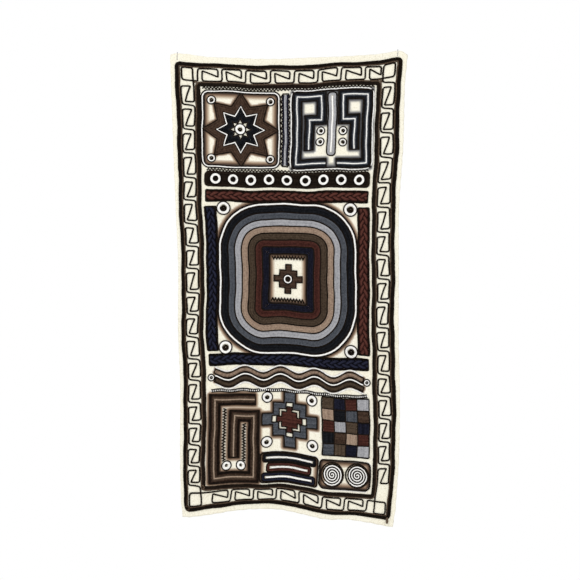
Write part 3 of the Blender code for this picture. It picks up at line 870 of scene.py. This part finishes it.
def lay_eyes(name, eyes, lift=0.0):
    """Lay ring eyes, each its place, its radius and how many white rings it has."""
    white, black = [], []
    for u, v, radius, rings in eyes:
        white += [(circle(u, v, radius - (k + 0.5) * EYE_YARN), True) for k in range(rings)]
        black.append((circle(u, v, radius + 0.5 * EYE_YARN), True))
        middle = radius - (rings + 0.5) * EYE_YARN
        if middle > EYE_YARN:
            black.append((coil(u, v, 0.8, middle, EYE_YARN), False))
        else:
            black.append((circle(u, v, max(middle, 0.6), 8), True))
    lay_yarn(f"{name}_white", white, "white", width=EYE_YARN, lift=lift, step=3.5, stray=0.1)
    lay_yarn(f"{name}_black", black, "black", width=EYE_YARN, lift=lift, step=3.5, stray=0.1)


medallion_eyes = [(*MEDALLION[:2], 11.0, 1)]
medallion_eyes += [(u, v, 16.0, 2) for u in (-172.0, 172.0) for v in (410.5, 785.5)]
lay_eyes("medallion_eyes", medallion_eyes, lift=1.2)

# The star, top left: a ring of brown yarn round a charcoal heart, with a white line between them, in a
# panel that is brushed brown at its border.
STAR = (-124.0, 196.0)
STAR_PANEL = (*STAR, 97.5, 98.5, 13.0)
PANEL_LINE = 3.2
SHARPEST_CORNER = 1.5


def widened_box(box, out):
    """A rounded box, as place, half sizes and corner, made wider all round."""
    u, v, half_width, half_height, radius = box
    return rounded_box(u, v, half_width + out, half_height + out, max(radius + out, SHARPEST_CORNER))


def star(u, v, tip, notch, points=8):
    """A closed star."""
    outline = []
    for k in range(2 * points):
        turn = math.pi * k / points
        radius = tip if k % 2 == 0 else notch
        outline.append((u + radius * math.sin(turn), v - radius * math.cos(turn)))
    return outline


def rows_between(outer, inner, count):
    """Closed rows of yarn between two outlines with the same corners."""
    rows = []
    for k in range(count):
        share = (k + 0.5) / count
        row = [(a + (c - a) * share, b + (d - b) * share) for (a, b), (c, d) in zip(outer, inner)]
        rows.append((row, True))
    return rows


shade_cloth(rounded_box(*STAR_PANEL), 14.0)
shade_cloth(star(*STAR, 99, 65.5), 7.0, outward=True)
lay_yarn("star_ring", rows_between(star(*STAR, 97, 64), star(*STAR, 66, 42), 6), "brown", ["star_ring"])
lay_yarn("star_heart", rows_between(star(*STAR, 58, 34), star(*STAR, 31, 18), 4), "charcoal", ["star_heart"])
star_white = [star(*STAR, 62, 38), widened_box(STAR_PANEL, PANEL_LINE)]
lay_yarn("star_white", [(path, True) for path in star_white], "white", lift=0.2)
star_lines = [star(*STAR, 99, 65.5), star(*STAR, 66, 42), star(*STAR, 58, 34), star(*STAR, 29, 17)]
star_lines += [rounded_box(*STAR_PANEL), widened_box(STAR_PANEL, 2 * PANEL_LINE)]
lay_yarn("star_lines", [(path, True) for path in star_lines], "black", lift=0.4)
star_eyes = [(*STAR, 13.0, 2)]
star_eyes += [(STAR[0] + a, STAR[1] + b, 9.5, 1) for a in (-78.0, 78.0) for b in (-79.0, 79.0)]
lay_eyes("star_eyes", star_eyes)

# The teeth along the edges of the field: a zigzag of black yarn above the panels and one under them.
FIELD_TOOTH = 9.0
field_teeth = [
    toothed((-224.0, 88.0), (224.0, 88.0), 4.8, FIELD_TOOTH),
    toothed((-216.0, 308.6), (216.0, 308.6), 4.0, FIELD_TOOTH),
]
lay_yarn("field_teeth", [(path, False) for path in field_teeth], "black", width=2.8)


# The toothed bar: upright navy rows with a row of light grey down the middle and a zigzag of black yarn
# round their edge.
TOOTHED_BAR = (-6.0, 196.0, 6.5, 98.0)
TOOTH = 5.0
TEETH = 14
u, v, half_width, half_height = TOOTHED_BAR
zigzag = []
for side in (1, -1):
    edge = []
    for k in range(TEETH):
        edge.append((u + side * half_width, v - half_height + 2 * k * half_height / TEETH))
        edge.append((u + side * (half_width + TOOTH), v - half_height + (2 * k + 1) * half_height / TEETH))
    edge.append((u + side * half_width, v + half_height))
    zigzag += edge[::side]
lay_yarn("toothed_bar_line", [(zigzag, True)], "black", width=3.0, lift=0.3)
bar_ends = (v - half_height + 3, v + half_height - 3)
bar_rows = [([(u + a, end) for end in bar_ends], False) for a in (-5.4, 5.4)]
lay_yarn("toothed_bar", bar_rows, "navy", ["toothed_bar"], width=4.2)
bar_core = [([(u + a, end) for end in bar_ends], False) for a in (-1.6, 1.6)]
lay_yarn("toothed_bar_core", bar_core, "light grey")

# The pair of hooks, top right: square spirals of charcoal and slate yarn with a white middle row, on either
# side of a light grey pillar, in a panel that is brushed grey at its border.
HOOKS = (116.0, 196.0)
HOOK_WIDTH = 21.0
HOOK_PANEL = (*HOOKS, 104.2, 103.2, 14.0)
PILLAR = (HOOKS[0], 182.0, 11.0, 84.0, 8.0)
HOOK_PATH = (
    # from the pillar, from the middle down
    (14.0, 91.0),
    (92.0, 91.0),
    (92.0, -90.0),
    (28.0, -90.0),
    (28.0, -26.0),
    (60.0, -26.0),
    (60.0, 54.0),
)


def shifted(path, off):
    """An open path moved sideways, with mitred corners."""
    moved = []
    for i, (u, v) in enumerate(path):
        before = path[max(i - 1, 0)]
        after = path[min(i + 1, len(path) - 1)]
        out = math.atan2(after[1] - v, after[0] - u) if i < len(path) - 1 else None
        into = math.atan2(v - before[1], u - before[0]) if i else out
        out = into if out is None else out
        half_turn = 0.5 * math.remainder(out - into, 2 * math.pi)
        side = into + half_turn + 0.5 * math.pi
        reach = off / math.cos(half_turn)
        moved.append((u + reach * math.cos(side), v + reach * math.sin(side)))
    return moved


def lay_strip(name, path, width, row_wools, edge_tone=0.0):
    """Lay rows of yarn along a path, one wool a row, with the first wool's piece in the solid's place."""
    pitch = width / len(row_wools)
    for wool in dict.fromkeys(row_wools):
        rows = []
        for k, row_wool in enumerate(row_wools):
            if row_wool == wool:
                tone_and_painted_shade = edge_tone if k in (0, len(row_wools) - 1) else 0.0
                row = shifted(path, (k + 0.5) * pitch - width / 2)
                rows.append(([(*spot, 0.0, tone_and_painted_shade) for spot in row], False))
        first = wool == row_wools[0]
        piece_name = name if first else f"{name}_{wool.replace(' ', '_')}"
        lay_yarn(piece_name, rows, wool, [name] if first else ())


def outline_of(path, width):
    """The closed outline of a strip."""
    return shifted(path, width / 2) + shifted(path, -width / 2)[::-1]


HOOK_ROWS = ("charcoal", "charcoal", "slate", "white", "slate", "charcoal", "charcoal")
shade_cloth(rounded_box(*HOOK_PANEL), 12.0, GREY_DYE)
hook_lines = [rounded_box(*HOOK_PANEL), rounded_box(*PILLAR)]
for name, sign in (("hook_left", -1), ("hook_right", 1)):
    path = [(HOOKS[0] + sign * a, HOOKS[1] + b) for a, b in HOOK_PATH]
    lay_strip(name, path, HOOK_WIDTH, HOOK_ROWS)
    hook_lines.append(outline_of(path, HOOK_WIDTH + 2.5))
    shade_cloth(hook_lines[-1], 8.0, GREY_DYE, outward=True)
lay_yarn("hook_lines", [(path, True) for path in hook_lines], "black", lift=0.4)
lay_yarn("hook_white", [(widened_box(HOOK_PANEL, PANEL_LINE), True)], "white")
pillar_rows = [(widened_box(PILLAR, -inset), True) for inset in (3.0, 6.2)]
lay_yarn("pillar", pillar_rows, "light grey", ["pillar"])
pillar_core = [(PILLAR[0], PILLAR[1] + off) for off in (-74.0, 74.0)]
lay_yarn("pillar_core", [(pillar_core, False)], "white", width=4.0)
hook_eyes = [(HOOKS[0] + a, HOOKS[1] + b, 9.0, 1) for a in (-30.0, 30.0) for b in (4.0, 34.0)]
lay_eyes("hook_eyes", hook_eyes)


# The ring bar: black-brown rows the whole width of the field, with nine ring eyes sewn on top.
RING_BAR = (0.0, 331.0, 222.0, 21.0, 12.0)
RING_BAR_ROWS = 6
RING_BAR_PITCH = 3.5
RING_SPACING = 48.0
ring_rows = [(widened_box(RING_BAR, -RING_BAR_PITCH * (k + 0.5)), True) for k in range(RING_BAR_ROWS)]
lay_yarn("ring_bar", ring_rows, "black", ["ring_bar"], width=3.6)
ring_eyes = [(RING_SPACING * k, RING_BAR[1], 14.0, 2) for k in range(-4, 5)]
lay_eyes("ring_bar_eyes", ring_eyes, lift=2.3)

# The waves: two strips of three rows, tan over olive brown, that swing together, with black lines beside
# them, and under them a cord of white knots between two black lines.
WAVE_WIDTH = 9.0
WAVE_SWING = 8.0
WAVE_LENGTH = 96.0
WAVE_RUN = 204.0
WAVE_STEPS = 68
WAVE_MIDDLE = 865.0
WAVES = (("wave_upper", WAVE_MIDDLE - 12.0, "tan"), ("wave_lower", WAVE_MIDDLE + 12.0, "olive"))


def wave(down, swing=WAVE_SWING, length=WAVE_LENGTH, half_run=WAVE_RUN, steps=WAVE_STEPS):
    """A level path that swings up and down."""
    places = [half_run * (2 * k / steps - 1) for k in range(steps + 1)]
    return [(u, down + swing * math.sin(2 * math.pi * u / length)) for u in places]


wave_lines = []
for name, down, wool in WAVES:
    path = wave(down)
    lay_strip(name, path, WAVE_WIDTH, (wool,) * 3, edge_tone=-0.9)
    wave_lines.append((outline_of(path, WAVE_WIDTH + 3), True))
    shade_cloth(wave_lines[-1][0], 5.0, outward=True)
wave_white = [(wave(WAVE_MIDDLE + off), False) for off in (-23.5, 0.0, 23.5)]
wave_lines += [(wave(WAVE_MIDDLE + off), False) for off in (-3.2, 3.2)]
lay_yarn("wave_lines", wave_lines, "black", lift=0.2)
lay_yarn("wave_white", wave_white, "white", width=3.6)
lay_eyes("wave_eyes", [(u, WAVE_MIDDLE, 7.5, 1) for u in (-215.0, 215.0)])


def lay_knotted_cord(name, path):
    """Lay three black rows along a path, with a row of white knots on the middle one."""
    rails = [(shifted(path, off), False) for off in (-3.2, 0.0, 3.2)]
    lay_yarn(f"{name}_black", rails, "black", width=3.0)
    knots = [([(u - 1.0, v), (u + 1.0, v)], False) for u, v in spaced(path, False, 6.0)]
    lay_yarn(f"{name}_knots", knots, "white", width=3.4, lift=1.6, step=2.0)


lay_knotted_cord("lower_cord", wave(901.0, 1.2, 58.0, 214.0, 80))


# The lower hook: a square spiral of brown yarn that lightens to tan in its middle rows, with ring eyes in
# its opening.
LOWER_HOOK_WIDTH = 24.0
LOWER_HOOK_PATH = (
    # across, down
    (-96.0, 926.0),
    (-206.0, 926.0),
    (-206.0, 1136.0),
    (-98.0, 1136.0),
    (-98.0, 970.0),
    (-152.0, 970.0),
    (-152.0, 1084.0),
)
LOWER_HOOK_ROWS = ("brown", "brown", "olive", "tan", "olive", "brown", "brown")
lay_strip("hook_lower", LOWER_HOOK_PATH, LOWER_HOOK_WIDTH, LOWER_HOOK_ROWS, edge_tone=-1.8)
lower_hook_line = outline_of(LOWER_HOOK_PATH, LOWER_HOOK_WIDTH + 3)
shade_cloth(lower_hook_line, 9.0, outward=True)
LOWER_TOOTH_HEIGHT = 9.0
lower_teeth = [
    toothed((-184.0, 950.0), (-184.0, 1092.0), LOWER_TOOTH_HEIGHT),
    toothed((-120.0, 1092.0), (-120.0, 990.0), LOWER_TOOTH_HEIGHT),
]
lower_lines = [(lower_hook_line, True)] + [(path, False) for path in lower_teeth]
lay_yarn("hook_lower_line", lower_lines, "black", lift=0.4)
lay_eyes("hook_lower_eyes", [(-172.0, 1105.0, 11.0, 2), (-133.0, 1105.0, 11.0, 2)])


# The stepped cross: a ring of slate yarn round a maroon heart, with small ring eyes in its corners.
CROSS = (0.0, 980.0)
cross_outside = stepped_cross(*CROSS, 30.0)
cross_inside = stepped_cross(*CROSS, 19.0)
cross_middle = stepped_cross(*CROSS, 14.0)
lay_yarn("cross_ring", rows_across([cross_outside, cross_inside]), "slate", ["cross_ring"])
lay_yarn("cross_heart", rows_across([cross_middle]), "maroon", ["cross_heart"])
cross_lines = [(path, True) for path in (cross_outside, cross_inside, cross_middle)]
lay_yarn("cross_lines", cross_lines, "black", lift=0.5)
shade_cloth(cross_outside, 9.0, outward=True)
cross_eyes = [(CROSS[0] + a, CROSS[1] + b, 13.0, 2) for a in (-62.0, 62.0) for b in (-59.0, 61.0)]
lay_eyes("cross_eyes", cross_eyes)

# The checks: twenty blocks of straight rows in eight wools, every other block turned, with black lines
# between them.
CHECKS = (154.0, 984.0, 64.0, 76.0)
CHECK_COLUMNS = 4
CHECK_ROWS = 5
CHECK_WOOLS = (
    # a row of blocks, left to right
    ("olive", "navy", "maroon", "light grey"),
    ("tan", "charcoal", "slate", "brown"),
    ("maroon", "light grey", "olive", "navy"),
    ("charcoal", "brown", "tan", "maroon"),
    ("slate", "olive", "navy", "light grey"),
)
u, v, half_width, half_height = CHECKS
start_u, end_u = u - half_width, u + half_width
start_v, end_v = v - half_height, v + half_height
block_width = 2 * half_width / CHECK_COLUMNS
block_height = 2 * half_height / CHECK_ROWS
block_rows = {}
for row, row_wools in enumerate(CHECK_WOOLS):
    for column, wool in enumerate(row_wools):
        left = start_u + column * block_width
        top = start_v + row * block_height
        block = [(left, top), (left + block_width, top)]
        block += [(a, b + block_height) for a, b in block[::-1]]
        slant = 0.5 * math.pi * ((row + column) % 2)
        block_rows.setdefault(wool, []).extend(rows_across([block], slant=slant))
for wool, paths in block_rows.items():
    lay_yarn(f"checks_{wool.replace(' ', '_')}", paths, wool, ["checks"] if wool == "olive" else ())
check_lines = [(rounded_box(u, v, half_width + 0.6, half_height + 0.6, 3.0), True)]
for k in range(1, CHECK_COLUMNS):
    line_u = start_u + k * block_width
    check_lines.append(([(line_u, start_v), (line_u, end_v)], False))
for k in range(1, CHECK_ROWS):
    line_v = start_v + k * block_height
    check_lines.append(([(start_u, line_v), (end_u, line_v)], False))
lay_yarn("check_lines", check_lines, "black", lift=0.7)

# The three bars under the cross, each of closed rows round a white one, and the two discs beside them, each
# a black and a white coil wound together.
BARS = (
    ("bar_upper", 1084.0, 72.0, "charcoal"),
    ("bar_middle", 1110.0, 60.0, "maroon"),
    ("bar_lower", 1136.0, 72.0, "navy"),
)
BAR_PANEL = (0.0, 1110.0, 80.0, 40.5, 10.0)
BAR_HALF_HEIGHT = 10.0
bar_lines, bar_cores = [], []
for name, v, half_width, wool in BARS:
    rows = []
    for inset in (1.7, 5.0):
        halves = (half_width - inset, BAR_HALF_HEIGHT - inset)
        rows.append((rounded_box(0.0, v, *halves, max(6.0 - inset, 1.0)), True))
    lay_yarn(name, rows, wool, [name])
    bar_cores.append(([(-half_width + 10, v), (half_width - 10, v)], False))
    bar_lines.append((rounded_box(0.0, v, half_width + 1.5, BAR_HALF_HEIGHT + 1.5, 7.0), True))
bar_panel = rounded_box(*BAR_PANEL)
shade_cloth(bar_panel, 12.0, under=1.5)
bar_lines.append((bar_panel, True))
lay_yarn("bar_cores", bar_cores, "white", width=4.0, lift=0.3)
lay_yarn("bar_lines", bar_lines, "black")

DISCS = (120.0, 188.0)
DISC_RADIUS = 31.0
DISC_PITCH = 6.8
DISC_PANEL = (154.0, 1110.0, 69.0, 37.0, 12.0)
shade_cloth(rounded_box(*DISC_PANEL), 15.0, under=1.5)
disc_black = [(rounded_box(*DISC_PANEL), True)]
disc_white = []
for u in DISCS:
    place = (u, DISC_PANEL[1])
    disc_black.append((coil(*place, 1.0, DISC_RADIUS - 1.5, DISC_PITCH), False))
    disc_black.append((circle(*place, DISC_RADIUS, 28), True))
    disc_white.append((coil(*place, 1.0, DISC_RADIUS - 3.5, DISC_PITCH, math.pi), False))
lay_yarn("discs_black", disc_black, "black", ["disc_left", "disc_right"], width=3.6)
lay_yarn("discs_white", disc_white, "white")
